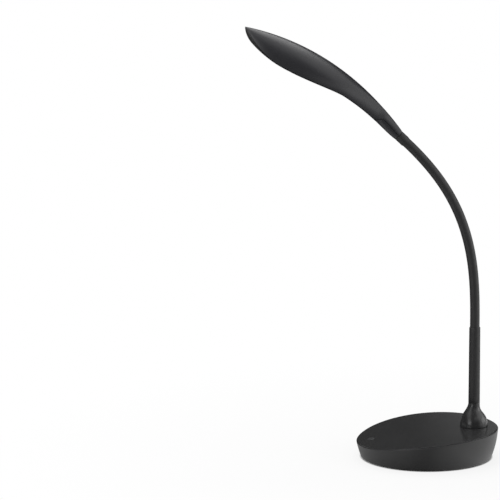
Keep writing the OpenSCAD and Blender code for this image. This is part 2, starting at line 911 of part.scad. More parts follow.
module at_head_screws() {
    for (side = [-1, 1])
        translate([side * head_screw_x, -head_screw_a, 0])
            children();
}

// Height of the middle of the shell's wall over a place at distance x from the middle
function wall_mid_z(a, x) =
    let (w = half_w_at(a) - shell_t / 2, h = top_at(a) - shell_t / 2 - split_at(a))
        split_at(a) + h * sqrt(1 - pow(x / w, 2));

module head_shell() {
    color(satin_black) {
        in_head()
            thick_skin(
                [for (a = skin_stations(head_len - tip_end)) upper_ring(a, 0)],
                [for (a = skin_stations(head_len - tip_end))
                    upper_ring(a, thinned(min(top_at(a) - split_at(a), half_w_at(a))))]);
        in_head()
            at_head_screws()
                translate([0, 0, head_boss_z])
                    ring(head_boss_r, head_screw_d / 2 + 0.05,
                         wall_mid_z(head_screw_a, head_screw_x) - head_boss_z);
        on_led_board()
            for (a = led_boss_as)
                translate([0, -a, led_board_t + spreader_t + seam])
                    difference() {
                        cylinder(r = led_boss_r, h = led_boss_h(a));
                        translate([0, 0, -1])
                            cylinder(d = led_screw_d + 0.1, h = 8);
                    }
    }
}

// The path of the neck's lead on into the head, as a bar of radius r
module head_axis_hole(r) {
    rotate([quarter_turn - head_droop, 0, 0])
        cylinder(r = r, h = 3 * insert_len);
}

module tail_cover() {
    rib_a = tail_cover_len - 6.5;
    rib_len = 4;
    rib_w = 9;
    tongue_w = 15;
    neck_a = tail_cover_len + 6;
    pad_a = head_screw_a - 6;
    color(satin_black)
        in_head()
            difference() {
                union() {
                    thick_skin(
                        [for (a = tail_stations(tail_cover_len - 0.3)) lower_ring(a, 0, seam_drop)],
                        [for (a = tail_stations(tail_cover_len - 0.3))
                            lower_ring(a, thinned(split_at(a) - seam_drop - low_at(a)), seam_drop)]);
                    translate([-rib_w / 2, -rib_a - rib_len, low_at(rib_a + rib_len) + 0.5])
                        cube([rib_w, rib_len, tongue_z + tongue_t - low_at(rib_a + rib_len) - 0.5]);
                    translate([0, 0, tongue_z])
                        linear_extrude(tongue_t)
                            polygon([[-rib_w / 2, -rib_a], [-rib_w / 2, -neck_a], [-tongue_w / 2, -pad_a],
                                     [-tongue_w / 2, -tongue_end], [tongue_w / 2, -tongue_end],
                                     [tongue_w / 2, -pad_a], [rib_w / 2, -neck_a], [rib_w / 2, -rib_a]]);
                }
                head_axis_hole(lead_d / 2 + 0.5);
                at_head_screws()
                    translate([0, 0, tongue_z - 1])
                        cylinder(d = head_screw_d + 0.3, h = tongue_t + 2);
            }
}

// Half width of the diffuser's window at distance a, round at both ends
function end_round(d, r) = d >= r ? 1 : sqrt(max(0, 1 - pow(1 - d / r, 2)));
window_end = head_len - window_tip;
function window_w(a) =
    (half_w_at(a) - frame_w)
    * end_round(a - window_a, window_rear_round) * end_round(window_end - a, window_front_round);
WINDOW_STEPS = 32;
function window_a_at(i) =
    (window_a + window_end) / 2 - (window_end - window_a - 0.4) / 2 * cos(180 * i / WINDOW_STEPS);

// A flat ring of a slab from z0 to z1 above the lower outline, half as wide as w
function slab_ring(a, w, z0, z1) = [[w, -a, z0], [w, -a, z1], [-w, -a, z1], [-w, -a, z0]];

module head_frame() {
    frame_rear = tail_cover_len + 0.2;
    upstand_rear = tail_cover_len + 6;
    upstand_end = head_len - 20;
    upstand_steps = 24;
    color(rubber_grey)
        in_head()
            difference() {
                union() {
                    loft([for (a = front_stations(frame_rear, head_len - tip_end))
                        lower_ring(a, 0, seam_drop)]);
                    loft([for (i = [0:upstand_steps])
                        let (a = upstand_rear + (upstand_end - upstand_rear) * i / upstand_steps,
                             w = half_w_at(a) - shell_t - 0.45)
                        slab_ring(a, w, split_at(a) - 0.3, split_at(a) + frame_upstand)]);
                }
                translate([0, 0, -2 * head_drop])
                    linear_extrude(4 * head_drop)
                        polygon(concat(
                            [for (i = [0:WINDOW_STEPS]) [window_w(window_a_at(i)), -window_a_at(i)]],
                            [for (i = [WINDOW_STEPS:-1:0]) [-window_w(window_a_at(i)), -window_a_at(i)]]));
                at_head_screws() {
                    translate([0, 0, -head_drop])
                        cylinder(d = head_screw_d + 0.3, h = 2 * head_drop);
                    translate([0, 0, -head_drop])
                        cylinder(d = 2 * head_screw_d + 0.3, h = head_drop + low_at(head_screw_a) + 1.3);
                }
            }
}

// Height of the frame's underside at distance a, x from the middle
function under_at(a, x) =
    let (seam_z = split_at(a) - seam_drop, reach = min(1, abs(x) / half_w_at(a)))
        seam_z - (seam_z - low_at(a)) * sqrt(1 - reach * reach);

// A ring across the diffuser: flat on top at z1, and on its face rise above the frame's underside
function panel_ring(a, w, rise, z1) = concat(
    [[w, -a, z1], [-w, -a, z1]],
    [for (i = [-4:4]) [w * i / 4, -a, under_at(a, w * i / 4) + rise]]);

module diffuser() {
    lip = 1.5;
    lip_t = 1;
    recess = 0.5;
    color(opal)
        in_head() {
            loft([for (i = [0:WINDOW_STEPS])
                let (a = window_a_at(i), w = max(0.5, window_w(a) - seam))
                panel_ring(a + (i == 0 ? seam : i == WINDOW_STEPS ? -seam : 0), w,
                           recess, split_at(a) + frame_upstand + 0.3)]);
            loft([for (i = [0:WINDOW_STEPS])
                let (a = window_a_at(i) + (i == 0 ? -lip : i == WINDOW_STEPS ? lip : 0),
                     w = max(2.5, window_w(window_a_at(i)) + lip),
                     lip_z = split_at(a) + frame_upstand + 0.1)
                slab_ring(a, w, lip_z, lip_z + lip_t)]);
        }
}

module led_board() {
    color(board_green)
        on_led_board()
            difference() {
                translate([-led_board_w / 2, -led_board_len, 0])
                    cube([led_board_w, led_board_len, led_board_t]);
                at_led_bosses()
                    translate([0, 0, -1])
                        cylinder(d = led_screw_d + 0.3, h = led_board_t + 2);
            }
}

module leds() {
    end_room = 6;
    pitch = (led_board_len - 2 * end_room) / (led_count - 1);
    color(led_yellow)
        on_led_board()
            for (side = [-1, 1])
                for (i = [0:led_count - 1])
                    translate([side * led_row_x, -end_room - i * pitch, -led_size[2] / 2])
                        cube(led_size, center = true);
}

module heat_spreader() {
    color(steel)
        on_led_board()
            difference() {
                translate([-led_board_w / 2 - spreader_margin, -led_board_len - spreader_margin, led_board_t])
                    cube([led_board_w + 2 * spreader_margin, led_board_len + spreader_margin, spreader_t]);
                at_led_bosses()
                    cylinder(d = led_screw_d + 0.3, h = led_board_t + spreader_t + 1);
            }
}

module head_screws() {
    color(steel)
        in_head()
            at_head_screws()
                translate([0, 0, low_at(head_screw_a) + 1.3])
                    screw(head_screw_d, 2 * head_screw_d, 1.1, head_screw_len);
}

module led_screws() {
    color(steel)
        on_led_board()
            at_led_bosses()
                screw(led_screw_d, 1.8 * led_screw_d, 1.3, led_board_t + spreader_t + 5);
}

base_body();
base_cover();
base_plate();
ballast();
base_pad();
base_screws();
control_board();
board_screws();
touch_spring();
touch_lens();
dc_jack();
jack_lead();
neck_foot();
neck_washer();
neck_nut();
stem_tube();
stem_sleeve();
stem_core();
stem_lead();
for (k = [1:LINKS])
    sleeve(k);
for (k = [1:LINKS])
    core(k);
for (k = [1:LINKS - 1])
    lead(k);
head_lead();
neck_collar();
neck_ferrule();
head_shell();
tail_cover();
head_frame();
diffuser();
led_board();
leds();
heat_spreader();
head_screws();
led_screws();
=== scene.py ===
import functools
import math

import bmesh
import bpy
from mathutils import Matrix, Vector


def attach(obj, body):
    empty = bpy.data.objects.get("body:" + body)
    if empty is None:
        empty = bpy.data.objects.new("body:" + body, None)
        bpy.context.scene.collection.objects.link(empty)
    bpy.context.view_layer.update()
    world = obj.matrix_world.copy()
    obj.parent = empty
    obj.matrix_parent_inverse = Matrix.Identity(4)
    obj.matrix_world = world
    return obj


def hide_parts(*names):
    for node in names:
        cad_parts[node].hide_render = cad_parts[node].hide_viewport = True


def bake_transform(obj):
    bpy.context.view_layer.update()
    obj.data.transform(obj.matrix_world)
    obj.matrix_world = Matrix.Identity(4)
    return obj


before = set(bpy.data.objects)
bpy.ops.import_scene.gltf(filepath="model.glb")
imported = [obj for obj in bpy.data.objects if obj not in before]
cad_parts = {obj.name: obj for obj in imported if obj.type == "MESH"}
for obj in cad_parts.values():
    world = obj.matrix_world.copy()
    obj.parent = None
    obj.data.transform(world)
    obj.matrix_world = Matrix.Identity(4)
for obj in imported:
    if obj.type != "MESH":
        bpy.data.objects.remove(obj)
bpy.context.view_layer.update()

# ---- Rubber pad ----
# The pad that the lamp rests on: a die-cut disc of black non-slip rubber,
# glued into a shallow recess of the bottom plate.


class Field:
    """A number or colour socket in a finish's node tree. Arithmetic on it adds Math nodes."""

    def __init__(self, tree, socket):
        self.tree = tree
        self.socket = socket

    def node(self, kind, settings=None, inputs=None):
        """Adds a node of any kind, and links or sets its inputs."""
        made = self.tree.nodes.new(kind)
        for name, value in (settings or {}).items():
            setattr(made, name, value)
        for name, value in (inputs or {}).items():
            if isinstance(value, Field):
                self.tree.links.new(value.socket, made.inputs[name])
            else:
                made.inputs[name].default_value = value
        return made

    def out(self, kind, settings=None, inputs=None, output=0):
        """Adds a node, and gives one of its outputs as a Field."""
        return Field(self.tree, self.node(kind, settings, inputs).outputs[output])

    def math(self, operation, first, second=0.0):
        return self.out("ShaderNodeMath", {"operation": operation}, {0: first, 1: second})

    def __add__(self, other):
        return self.math("ADD", self, other)

    def __radd__(self, other):
        return self.math("ADD", other, self)

    def __sub__(self, other):
        return self.math("SUBTRACT", self, other)

    def __rsub__(self, other):
        return self.math("SUBTRACT", other, self)

    def __mul__(self, other):
        return self.math("MULTIPLY", self, other)

    def __rmul__(self, other):
        return self.math("MULTIPLY", other, self)

    def noise(self, scale, detail=3.0, roughness=0.55):
        """Grain of about 1/scale metres, read in the piece's own coordinates."""
        return self.out("ShaderNodeTexNoise", {"noise_dimensions": "3D"},
                        {"Vector": self, "Scale": scale, "Detail": detail, "Roughness": roughness}, "Fac")

    def between(self, low, high, low_to=0.0, high_to=1.0):
        """Maps low..high to low_to..high_to, and holds it there."""
        return self.out("ShaderNodeMapRange", {"clamp": True},
                        {"Value": self, "From Min": low, "From Max": high,
                         "To Min": low_to, "To Max": high_to})

    def patches(self, scale, low=0.0, high=1.0, detail=3.0):
        """Soft patches of about 1/scale metres that go from low to high."""
        return self.noise(scale, detail).between(0.3, 0.7, low, high)

    def tint(self, first, second):
        """The colour between two colours that this field picks."""
        return self.out("ShaderNodeMix", {"data_type": "RGBA"},
                        {"Factor": self, 6: (*first, 1), 7: (*second, 1)}, 2)


def new_finish(name):
    """An empty finish: its surface shader, and the piece's own coordinates as a Field."""
    finish = bpy.data.materials.new(name)
    finish.use_nodes = True
    tree = finish.node_tree
    tree.nodes.clear()
    surface = tree.nodes.new("ShaderNodeBsdfPrincipled")
    output = tree.nodes.new("ShaderNodeOutputMaterial")
    tree.links.new(surface.outputs["BSDF"], output.inputs["Surface"])
    place = Field(tree, tree.nodes.new("ShaderNodeTexCoord").outputs["Object"])
    return finish, surface, place


def feed(surface, **fields):
    """Links fields to the shader's sockets, and sets plain values on them."""
    for name, value in fields.items():
        socket = surface.inputs[name.replace("_", " ")]
        if isinstance(value, Field):
            value.tree.links.new(value.socket, socket)
        else:
            socket.default_value = value


def bumped(surface, height, distance, strength):
    """Gives a surface a fine relief: height is its pattern and distance its depth in metres."""
    relief = {"Strength": strength, "Distance": distance, "Height": height}
    feed(surface, Normal=height.out("ShaderNodeBump", None, relief, "Normal"))


def dress(finish, *nodes):
    """Gives CAD nodes their finish."""
    for name in nodes:
        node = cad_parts[name]
        if node.material_slots:
            for slot in node.material_slots:
                slot.material = finish
        else:
            node.data.materials.append(finish)


pad_rubber, surface, place = new_finish("pad_rubber")
speckle = place.noise(900, 4)
feed(surface, Base_Color=speckle.between(0.35, 0.7).tint((0.020, 0.020, 0.020), (0.034, 0.034, 0.034)),
     Roughness=place.patches(120, 0.72, 0.86))
bumped(surface, speckle, 0.0001, 0.6)
dress(pad_rubber, "base_pad")

# ---- Bottom plate and its screws ----
# A flat moulded plate that closes the base from below, held by four
# zinc-plated pan-head screws that run up into the cover's posts.

plate_plastic, surface, place = new_finish("plate_plastic")
feed(surface, Base_Color=place.patches(30).tint((0.030, 0.030, 0.032), (0.038, 0.038, 0.040)),
     Roughness=place.patches(60, 0.50, 0.60))
bumped(surface, place.noise(2600, 2), 0.00005, 0.5)
dress(plate_plastic, "base_plate")

plated_steel, surface, place = new_finish("plated_steel")
feed(surface, Base_Color=place.patches(400).tint((0.50, 0.51, 0.53), (0.62, 0.63, 0.64)),
     Metallic=1.0, Roughness=place.patches(700, 0.24, 0.38))
bumped(surface, place.noise(3000), 0.00002, 0.4)
dress(plated_steel, "base_screws")

# ---- Ballast ----
# The weight that keeps the lamp upright: a plain disc of cast iron that lies
# on the bottom plate, rough from the sand mould.

cast_iron, surface, place = new_finish("cast_iron")
sand = place.noise(500, 6)
feed(surface, Base_Color=sand.between(0.3, 0.7).tint((0.09, 0.09, 0.09), (0.17, 0.165, 0.16)),
     Metallic=0.6, Roughness=place.patches(90, 0.65, 0.85))
bumped(surface, sand, 0.0003, 0.8)
dress(cast_iron, "ballast")

# ---- Base body ----
# The satin black ABS bowl: one round wall that curves in to the table, whose
# top edge follows the slope of the cover and shows as a thin rim round it.

MM = 0.001
SHARP, WELD = 32, 2e-7
BASE_D, WIDE_Z, SIDE_R = 150, 36, 95
WALL, RIM, RIM_DROP, RIM_R = 2.4, 1.2, 0.75, 0.15
LIFT, TOE_R, PLATE_TOP = 1, 0.6, 3.5
CROWN_Z, CROWN_Y, CROWN_FALL = 31.5, 72, 15.3
COVER_T, COVER_PLAY = 2.5, 0.1
CROWN_R = ((CROWN_Y + BASE_D / 2) ** 2 + CROWN_FALL ** 2) / (2 * CROWN_FALL)


def side_at(z, inset=0.0):
    """Radius of the base's side at height z, moved in by inset."""
    return BASE_D / 2 - SIDE_R + math.sqrt((SIDE_R - inset) ** 2 - (z - WIDE_Z) ** 2)


def crown_at(y, drop=0.0):
    """Height of the sloping top at y, lowered by drop."""
    return CROWN_Z - CROWN_R + math.sqrt((CROWN_R - drop) ** 2 - (y - CROWN_Y) ** 2)


def side_meets_crown(turn, inset=0.0, drop=0.0):
    """The point on the side's curve, in one direction, where the top's curve meets it."""
    height = CROWN_Z - drop
    for _ in range(12):
        height = crown_at(side_at(height, inset) * math.sin(turn), drop)
    radius = side_at(height, inset)
    return radius * math.cos(turn), radius * math.sin(turn), height


def crisped(bm, sharp):
    """Smooths a bmesh, but for the edges that turn by more than sharp degrees."""
    for face in bm.faces:
        face.smooth = True
    for edge in bm.edges:
        edge.smooth = len(edge.link_faces) == 2 and edge.calc_face_angle(0) < math.radians(sharp)


def finished(name, bm, sharp=SHARP):
    """Turns a bmesh into a smooth piece with crisp edges."""
    crisped(bm, sharp)
    mesh = bpy.data.meshes.new(name)
    bm.to_mesh(mesh)
    bm.free()
    piece = bpy.data.objects.new(name, mesh)
    bpy.context.scene.collection.objects.link(piece)
    return piece


def grown(name, across, along, place, sharp=SHARP):
    """A mesh grown from a flat grid: place(u, v) says where each of its points goes, in mm."""
    bm = bmesh.new()
    bmesh.ops.create_grid(bm, x_segments=across, y_segments=along, size=0.5)
    for v in bm.verts:
        v.co = Vector(place(min(1, max(0, v.co.x + 0.5)), min(1, max(0, v.co.y + 0.5)))) * MM
    bmesh.ops.remove_doubles(bm, verts=bm.verts, dist=WELD)
    bmesh.ops.dissolve_degenerate(bm, edges=bm.edges, dist=1e-8)
    bmesh.ops.recalc_face_normals(bm, faces=bm.faces)
    return finished(name, bm, sharp)


def fitted(piece, finish, body, slot, *nodes):
    """Gives a piece its finish and body, and lets it stand for CAD nodes."""
    piece.data.materials.append(finish)
    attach(piece, body)
    if nodes:
        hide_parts(*nodes)


def cut_by(piece, cutter):
    """Cuts one mesh out of another, and removes the cutter."""
    cut = piece.modifiers.new("cut", "BOOLEAN")
    cut.operation = "DIFFERENCE"
    cut.solver = "EXACT"
    cut.object = cutter
    bpy.context.view_layer.update()
    shown = piece.evaluated_get(bpy.context.evaluated_depsgraph_get())
    mesh = bpy.data.meshes.new_from_object(shown)
    piece.modifiers.clear()
    piece.data = mesh
    bpy.data.objects.remove(cutter)
    bm = bmesh.new()
    bm.from_mesh(mesh)
    crisped(bm, SHARP)
    bm.to_mesh(mesh)
    bm.free()


def body_wall(u, v):
    """Round the base with u. v runs up the outside, over the rim, down the inside and back along the toe."""
    turn = 2 * math.pi * u
    step = v * 60
    top_z = side_meets_crown(turn)[2]
    rim_z = top_z - RIM_DROP
    ledge_z = top_z - COVER_PLAY - COVER_T
    if step <= 3:
        angle = math.pi / 2 * (1 - step / 3)
        z = LIFT + TOE_R - TOE_R * math.sin(angle)
        radius = side_at(z) - TOE_R + TOE_R * math.cos(angle)
    elif step <= 36:
        z = LIFT + TOE_R + (rim_z - RIM_R - LIFT - TOE_R) * (step - 3) / 33
        radius = side_at(z)
    elif step <= 40:
        angle = math.pi / 2 * (step - 36) / 4
        z = rim_z - RIM_R + RIM_R * math.sin(angle)
        radius = side_at(rim_z - RIM_R, RIM_R * (1 - math.cos(angle)))
    elif step <= 44:
        z = rim_z
        radius = side_at(rim_z - RIM_R, RIM_R + (RIM - RIM_R) * (step - 40) / 4)
    elif step <= 48:
        z = rim_z + (ledge_z - rim_z) * (step - 44) / 4
        radius = side_at(z, RIM)
    elif step <= 50:
        z = ledge_z
        radius = side_at(ledge_z, RIM + (WALL - RIM) * (step - 48) / 2)
    elif step <= 59:
        z = ledge_z + (LIFT - ledge_z) * (step - 50) / 9
        radius = side_at(z, WALL)
    else:
        z = LIFT
        radius = side_at(LIFT) - TOE_R
    return radius * math.cos(turn), radius * math.sin(turn), z


def turned(name, profile, centre, axis=(0, 0, 1), steps=96, sharp=SHARP):
    """Turns a profile of (radius, height) points in mm about an axis through centre."""
    bm = bmesh.new()
    verts = [bm.verts.new((r * MM, 0, h * MM)) for r, h in profile]
    edges = [bm.edges.new(pair) for pair in zip(verts, verts[1:])]
    bmesh.ops.spin(bm, geom=verts + edges, cent=(0, 0, 0), axis=(0, 0, 1), dvec=(0, 0, 0),
                   angle=2 * math.pi, steps=steps, use_merge=True)
    bmesh.ops.remove_doubles(bm, verts=bm.verts, dist=WELD)
    bmesh.ops.recalc_face_normals(bm, faces=bm.faces)
    turn = Vector((0, 0, 1)).rotation_difference(Vector(axis)).to_matrix().to_4x4()
    bmesh.ops.transform(bm, matrix=Matrix.Translation(Vector(centre) * MM) @ turn, verts=bm.verts)
    return finished(name, bm, sharp)


satin_plastic, surface, place = new_finish("satin_plastic")
feed(surface, Base_Color=place.patches(18).tint((0.0225, 0.0225, 0.023), (0.026, 0.026, 0.0265)),
     Roughness=place.patches(45, 0.40, 0.46, 5))
bumped(surface, place.noise(3200, 2), 0.00004, 0.35)

JACK_R, HOUSING_H, HOLE_LEN = 4.5, 10, 14
HOLE_R = JACK_R + 0.2
JACK_Z = PLATE_TOP + 0.2 + HOUSING_H / 2
JACK_FACE_Y = side_at(JACK_Z) - 0.2
base_body = grown("base_body_shell", 240, 60, body_wall)
inlet_cut = turned("inlet_cut", [(0, 0), (HOLE_R, 0), (HOLE_R, HOLE_LEN), (0, HOLE_LEN)],
                   (0, JACK_FACE_Y - HOLE_LEN / 2, JACK_Z), (0, 1, 0), 64)
cut_by(base_body, inlet_cut)
fitted(base_body, satin_plastic, "base", "satin_black", "base_body")

# ---- Power inlet ----
# The round socket at the rear that the power supply plugs into: a moulded
# black housing with a bright pin in the middle of its bore.

inlet_plastic, surface, place = new_finish("inlet_plastic")
feed(surface, Base_Color=place.patches(80).tint((0.014, 0.014, 0.014), (0.020, 0.020, 0.020)),
     Roughness=place.patches(300, 0.30, 0.40))
bumped(surface, place.noise(3000, 2), 0.00003, 0.3)

BORE_R, JACK_DEPTH, JACK_NOSE, HOUSING_LEN, HOUSING_W = 3.2, 9.5, 6, 12, 11
nose_profile = [(BORE_R, 0.4), (BORE_R, JACK_DEPTH - 0.5), (BORE_R + 0.5, JACK_DEPTH),
                (JACK_R - 0.3, JACK_DEPTH), (JACK_R, JACK_DEPTH - 0.3), (JACK_R, 0), (0, 0), (0, 0.4),
                (BORE_R, 0.4)]
inlet_nose = turned("inlet_nose", nose_profile, (0, JACK_FACE_Y - JACK_DEPTH, JACK_Z), (0, 1, 0), 64)
fitted(inlet_nose, inlet_plastic, "base", "jack_black", "dc_jack")

bm = bmesh.new()
bmesh.ops.create_cube(bm, size=1)
bmesh.ops.scale(bm, vec=(HOUSING_W * MM, HOUSING_LEN * MM, HOUSING_H * MM), verts=bm.verts)
bmesh.ops.bevel(bm, geom=bm.edges, offset=0.5 * MM, offset_type="OFFSET", segments=3, profile=0.5,
                affect="EDGES", material=-1)
housing_y = JACK_FACE_Y - JACK_NOSE - HOUSING_LEN / 2
bmesh.ops.translate(bm, vec=Vector((0, housing_y, JACK_Z)) * MM, verts=bm.verts)
fitted(finished("inlet_housing", bm), inlet_plastic, "base", "jack_black")

inlet_pin = turned("inlet_pin", [(0, 0), (1.05, 0), (1.05, 7.6), (0.8, 8.2), (0.4, 8.5), (0, 8.6)],
                   (0, JACK_FACE_Y - JACK_DEPTH + 0.3, JACK_Z), (0, 1, 0), 32)
fitted(inlet_pin, plated_steel, "base", "steel")

red_wire, surface, place = new_finish("red_wire")
feed(surface, Base_Color=place.patches(200).tint((0.36, 0.02, 0.02), (0.46, 0.04, 0.03)),
     Roughness=place.patches(400, 0.40, 0.55))
bumped(surface, place.noise(1500), 0.00005, 0.4)
dress(red_wire, "jack_lead")

# ---- Control board and touch spring ----
# The small circuit board that dims the light, screwed to bosses under the
# cover, and the spring that carries the finger's touch down to it.

board_green, surface, place = new_finish("board_green")
tracks = place.noise(260, 1).between(0.48, 0.52)
feed(surface, Base_Color=tracks.tint((0.012, 0.090, 0.035), (0.022, 0.140, 0.055)),
     Roughness=place.patches(500, 0.30, 0.42))
bumped(surface, tracks, 0.00004, 0.5)
dress(board_green, "control_board", "led_board")
dress(plated_steel, "board_screws")

spring_brass, surface, place = new_finish("spring_brass")
feed(surface, Base_Color=place.patches(500).tint((0.60, 0.40, 0.16), (0.72, 0.50, 0.24)),
     Metallic=1.0, Roughness=place.patches(900, 0.22, 0.34))
bumped(surface, place.noise(2500), 0.00002, 0.4)
dress(spring_brass, "touch_spring")

# ---- Top cover ----
# The sloping top of the base, moulded in black ABS and polished, which drops
# into the rim of the body and carries the neck.

SEAM, EDGE_ROUND = 0.2, 0.3


def cover_skin(u, v):
    """Round the cover with u. v runs from the middle of the top out to its edge, down and back in below."""
    turn = 2 * math.pi * u
    step = v * 48
    edge_x, edge_y, _ = side_meets_crown(turn, RIM + SEAM)
    edge = math.hypot(edge_x, edge_y)
    if step <= 36:
        radius, drop = (edge - EDGE_ROUND) * (step / 36) ** 0.8, 0
    elif step <= 40:
        angle = math.pi / 2 * (step - 36) / 4
        radius, drop = edge - EDGE_ROUND * (1 - math.sin(angle)), EDGE_ROUND * (1 - math.cos(angle))
    elif step <= 43:
        radius, drop = edge - 0.02 * (step - 40), EDGE_ROUND + (COVER_T - EDGE_ROUND) * (step - 40) / 3
    else:
        radius, drop = (edge - 0.06) * (1 - (step - 43) / 5), COVER_T
    y = radius * math.sin(turn)
    return radius * math.cos(turn), y, crown_at(y) - drop


gloss_plastic, surface, place = new_finish("gloss_plastic")
feed(surface, Base_Color=place.patches(20).tint((0.026, 0.026, 0.0265), (0.030, 0.030, 0.0305)),
     Roughness=place.noise(35, 5).between(0.35, 0.7, 0.20, 0.26))
bumped(surface, place.noise(60, 2), 0.00004, 0.12)

fitted(grown("top_cover", 240, 48, cover_skin), gloss_plastic, "base", "gloss_black", "base_cover")

# ---- Touch key ----
# A flush lens of translucent plastic in the top near the front edge: the
# place to touch. The thin dark ring round it is painted shade standing for a groove.

key_plastic, surface, place = new_finish("key_plastic")
feed(surface, Base_Color=place.patches(400).tint((0.055, 0.056, 0.058), (0.068, 0.069, 0.071)),
     Roughness=place.patches(250, 0.20, 0.28))
bumped(surface, place.noise(2000), 0.00002, 0.3)

TOUCH_Y, TOUCH_R = 58, 4
key_tilt = math.atan((CROWN_Y + TOUCH_Y) / CROWN_R)
key_axis = (0, -math.sin(key_tilt), math.cos(key_tilt))
key_centre = (0, -TOUCH_Y, crown_at(-TOUCH_Y))
lens_profile = [(0, -1.2), (TOUCH_R - 0.1, -1.2), (TOUCH_R - 0.1, 0.0), (TOUCH_R - 0.2, 0.08),
                (TOUCH_R - 0.5, 0.12), (TOUCH_R / 2, 0.15), (0, 0.16)]
fitted(turned("key_lens", lens_profile, key_centre, key_axis, 64), key_plastic, "base", "lens_white",
       "touch_lens")

# A ring of darker plastic, barely proud of the cover round the lens: painted shade for the groove.
shade_ring_profile = [(TOUCH_R - 0.15, -0.5), (TOUCH_R - 0.15, 0.02), (TOUCH_R + 0.12, 0.05),
                  (TOUCH_R + 0.3, 0.02), (TOUCH_R + 0.3, -0.5), (TOUCH_R - 0.15, -0.5)]
fitted(turned("key_shade_ring", shade_ring_profile, key_centre, key_axis, 64), inlet_plastic, "base", "gloss_black")

# ---- Trumpet foot ----
# The polished trumpet-shaped escutcheon that hides the neck's fixing: it
# flares from the stem down to a round edge that sits on the cover.

NECK_Y, TUBE_R = 50, 4.6
FOOT_H, FOOT_R, SWEEP_R, SWEEP = 25, 14.4, 16, math.radians(38)
FOOT_SWAY, SWAY_H = 0.8, 17
STEM_R, STEM_TOP_R, STEM_LEN = 6, 5.75, 80.4
FOOT_TOP = crown_at(NECK_Y) + FOOT_H
foot_mid_r = STEM_R + SWEEP_R * (1 - math.cos(SWEEP))
foot_belly_r = (FOOT_R - foot_mid_r) / (1 - math.cos(SWEEP))
foot_mid_z = FOOT_TOP - SWEEP_R * math.sin(SWEEP)
foot_belly_z = foot_mid_z - foot_belly_r * math.sin(SWEEP)
foot_profile = [(TUBE_R, FOOT_TOP - 0.5), (TUBE_R, FOOT_TOP), (STEM_R - 0.15, FOOT_TOP)]
foot_profile += [(STEM_R + SWEEP_R * (1 - math.cos(a)), FOOT_TOP - SWEEP_R * math.sin(a))
                 for a in [SWEEP * i / 24 for i in range(1, 25)]]
foot_profile += [(FOOT_R - foot_belly_r * (1 - math.cos(a)), foot_belly_z + foot_belly_r * math.sin(a))
                 for a in [SWEEP * i / 16 for i in range(15, -1, -1)]]
foot_profile += [(FOOT_R, foot_belly_z - 0.5), (FOOT_R, 0.5), (FOOT_R, 0.15), (FOOT_R - 0.15, 0.0),
                 (FOOT_R - 1, 0.0), (TUBE_R, 0.0), (TUBE_R, FOOT_TOP - 0.5)]
trumpet = turned("trumpet_foot", foot_profile, (0, NECK_Y, 0), steps=128)
for v in trumpet.data.vertices:
    # Its lowest rings follow the slope of the cover, and its middle sways forward.
    if v.co.z < 1 * MM:
        v.co.z += (crown_at(v.co.y / MM) + 0.05) * MM
    drop = FOOT_TOP - v.co.z / MM
    if 0 < drop < SWAY_H:
        v.co.y -= FOOT_SWAY * MM * math.sin(math.pi * drop / SWAY_H) ** 2
fitted(trumpet, gloss_plastic, "base", "gloss_black", "neck_foot")

# ---- Neck fixing ----
# Inside the foot: a steel tube with a shoulder, and the nut and washer that
# pull it down on the cover from below.

dress(plated_steel, "neck_washer", "neck_nut", "stem_tube", "neck_ferrule")

# ---- Stem sleeve ----
# The lower 80 mm of the silicone sleeve, stiff because the steel tube is
# inside it: slightly tapered, with a small rounded step where the neck begins.

STEM_TOP = FOOT_TOP + STEM_LEN
NECK_R, STEM_EDGE = 5.0, 0.6

silicone, surface, place = new_finish("silicone")
dust = place.noise(70, 6)
feed(surface, Base_Color=dust.between(0.3, 0.75).tint((0.0125, 0.0125, 0.013), (0.0175, 0.0175, 0.018)),
     Roughness=place.patches(160, 0.50, 0.60, 4))
bumped(surface, place.noise(2200, 3), 0.00005, 0.45)

stem_profile = [(TUBE_R, FOOT_TOP + 0.05), (STEM_R - 0.2, FOOT_TOP + 0.05), (STEM_R, FOOT_TOP + 0.25)]
stem_profile += [(STEM_R + (STEM_TOP_R - STEM_R) * i / 12, FOOT_TOP + 0.25 + (STEM_LEN - 0.85) * i / 12)
                 for i in range(1, 13)]
stem_profile += [(STEM_TOP_R - STEM_EDGE * (1 - math.cos(a)), STEM_TOP - STEM_EDGE + STEM_EDGE * math.sin(a))
                 for a in [math.pi / 2 * i / 5 for i in range(1, 6)]]
stem_profile += [(NECK_R - 0.05, STEM_TOP), (TUBE_R, STEM_TOP), (TUBE_R, FOOT_TOP + 0.05)]
stem_skin = turned("stem_skin", stem_profile, (0, NECK_Y, 0), sharp=50)
fitted(stem_skin, silicone, "base", "silicone_black", "stem_sleeve")

# ---- Steel gooseneck and lead ----
# The wound steel tube that holds the bend, and the round black lead in its
# bore. Both are hidden in the sleeve.

wound_steel, surface, place = new_finish("wound_steel")
feed(surface, Base_Color=place.patches(300).tint((0.30, 0.30, 0.31), (0.42, 0.42, 0.43)),
     Metallic=1.0, Roughness=place.patches(600, 0.32, 0.46))
bumped(surface, place.noise(1500, 2), 0.0001, 0.6)
dress(wound_steel, "stem_core", *[f"core_{k:02d}" for k in range(1, 11)])

lead_rubber, surface, place = new_finish("lead_rubber")
feed(surface, Base_Color=place.patches(200).tint((0.016, 0.016, 0.016), (0.024, 0.024, 0.024)),
     Roughness=place.patches(500, 0.45, 0.6))
bumped(surface, place.noise(1800), 0.00004, 0.4)
dress(lead_rubber, "stem_lead", "head_lead", *[f"lead_{k:02d}" for k in range(1, 10)])

# ---- Neck ----
# The flexible part of the silicone sleeve. It is one smooth tube in the real
# lamp, so each stretch of skin runs across one joint and meets the next.

LINKS, FLEX, LEAN, BIAS, EVEN = 10, 226.5, math.radians(46.2), 1.11, 0.15
LINK, ROOT = FLEX / LINKS, 2.5
SLEEVE_BORE, COLLAR_LEN = 3.9, 11


